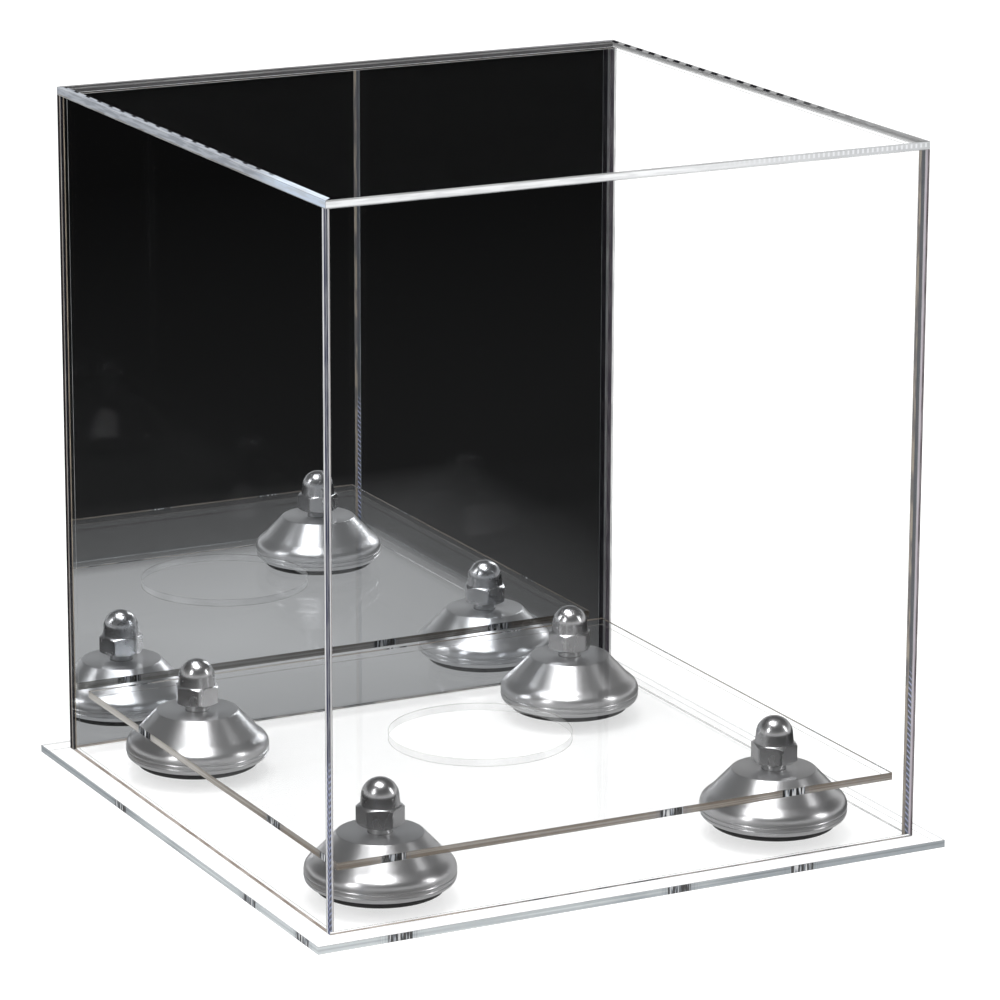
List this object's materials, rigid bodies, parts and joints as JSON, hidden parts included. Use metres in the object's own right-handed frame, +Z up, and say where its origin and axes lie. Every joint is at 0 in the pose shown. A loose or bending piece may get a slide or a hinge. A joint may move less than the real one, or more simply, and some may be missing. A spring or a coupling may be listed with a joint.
{
  "type": "ball display case",
  "caption": "Clear square display case for a ball: flat base, round metal risers with cap nuts, raised platform with a round seat hole, and a lift-off cover with a mirrored rear wall.",
  "frame": {"origin": "middle of the base on the surface that the case stands on", "axes": "+Z up, the front panel towards -Y, the mirror panel towards +Y"},
  "size_m": [0.2794, 0.2794, 0.2905],
  "materials": {
    "clear_acrylic": "gloss",
    "mirror_acrylic": "polished",
    "spun_aluminium": "satin",
    "polished_chrome": "polished",
    "bolt_steel": "satin",
    "black_rubber": "matte"
  },
  "bodies": {
    "base": {"base_plate": "clear_acrylic", "platform": "clear_acrylic", "riser_ring_front_left": "black_rubber", "riser_bell_front_left": "spun_aluminium", "riser_bolt_front_left": "bolt_steel", "cap_nut_front_left": "polished_chrome", "riser_ring_front_right": "black_rubber", "riser_bell_front_right": "spun_aluminium", "riser_bolt_front_right": "bolt_steel", "cap_nut_front_right": "polished_chrome", "riser_ring_rear_left": "black_rubber", "riser_bell_rear_left": "spun_aluminium", "riser_bolt_rear_left": "bolt_steel", "cap_nut_rear_left": "polished_chrome", "riser_ring_rear_right": "black_rubber", "riser_bell_rear_right": "spun_aluminium", "riser_bolt_rear_right": "bolt_steel", "cap_nut_rear_right": "polished_chrome"},
    "cover": {"front_panel": "clear_acrylic", "left_panel": "clear_acrylic", "right_panel": "clear_acrylic", "mirror_panel": "mirror_acrylic", "top_panel": "clear_acrylic"}
  },
  "joints": [
    {"name": "cover_lift", "type": "slide", "parent": "base", "child": "cover", "axis": [0, 0, 1], "range_m": [0, 0.3]}
  ]
}
